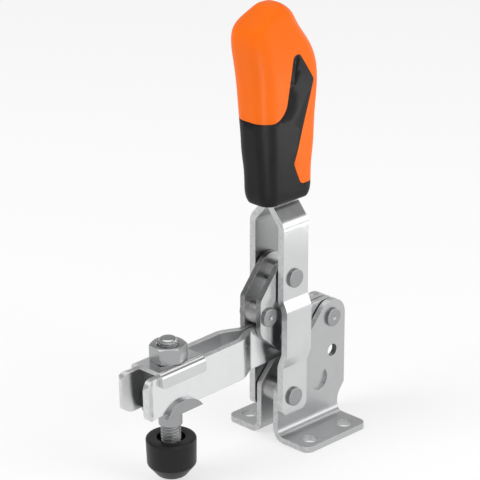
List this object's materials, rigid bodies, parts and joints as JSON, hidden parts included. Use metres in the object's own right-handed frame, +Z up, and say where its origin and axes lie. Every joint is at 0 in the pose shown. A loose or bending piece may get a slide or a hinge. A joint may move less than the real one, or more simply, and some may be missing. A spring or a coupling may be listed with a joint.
{
  "type": "vertical toggle clamp",
  "caption": "Vertical toggle clamp with a flanged base, an upright two-colour grip and a slotted arm that presses a rubber-capped screw onto the work.",
  "frame": {"origin": "centre of the four fixing holes, on the underside of the base flanges", "axes": "+X forward along the clamping arm, +Y to the clamp's left, +Z up along the closed handle"},
  "size_m": [0.1131, 0.0454, 0.1833],
  "materials": {
    "plated_sheet": "bright zinc plated",
    "plated_turned": "bright zinc plated, turned or cold headed",
    "grip_dark": "moulded, fine satin",
    "grip_bright": "moulded soft grip, satin",
    "cap_rubber": "moulded, satin"
  },
  "bodies": {
    "root": {"base_left": "plated_sheet", "base_right": "plated_sheet", "base_spacer_bush": "plated_turned", "handle_pivot_rivet": "plated_turned", "arm_pivot_rivet": "plated_turned"},
    "arm": {"arm_left": "plated_sheet", "arm_right": "plated_sheet", "arm_pivot_bush": "plated_turned", "link_pivot_bush": "plated_turned"},
    "link": {"link_left": "plated_sheet", "link_right": "plated_sheet", "link_pivot_rivet": "plated_turned", "stop_rivet": "plated_turned", "stop_sleeve": "plated_turned", "link_head_bush": "plated_turned"},
    "handle": {"handle_left": "plated_sheet", "handle_right": "plated_sheet", "handle_link_rivet_left": "plated_turned", "handle_link_rivet_right": "plated_turned", "grip_core": "grip_dark", "grip_shell": "grip_bright"},
    "carriage": {"top_saddle_washer": "plated_sheet", "lower_flanged_washer": "plated_sheet", "hex_nut": "plated_turned"},
    "spindle": {"clamping_screw": "plated_turned", "rubber_cap": "cap_rubber"}
  },
  "joints": [
    {"name": "handle_pivot", "type": "hinge", "parent": "root", "child": "handle", "pos_m": [0.01185, 0, 0.01955], "axis": [0, -1, 0], "range_deg": [0, 60]},
    {"name": "arm_pivot", "type": "hinge", "parent": "root", "child": "arm", "pos_m": [-0.0142, 0, 0.0453], "axis": [0, -1, 0], "range_deg": [0, 111.91]},
    {"name": "link_pivot", "type": "hinge", "parent": "arm", "child": "link", "pos_m": [0.01185, 0, 0.04535], "axis": [0, -1, 0], "range_deg": [0, 48.11]},
    {"name": "spindle_slide", "type": "slide", "parent": "arm", "child": "carriage", "axis": [0.9997, 0, -0.0262], "range_m": [-0.015, 0.003]},
    {"name": "spindle_adjust", "type": "slide", "parent": "carriage", "child": "spindle", "axis": [0.0262, 0, 0.9997], "range_m": [-0.0025, 0.003]}
  ],
  "couplings": [
    {"joint": "arm_pivot", "follows": "handle_pivot", "ratio": 1.865},
    {"joint": "link_pivot", "follows": "handle_pivot", "ratio": 0.80176}
  ]
}
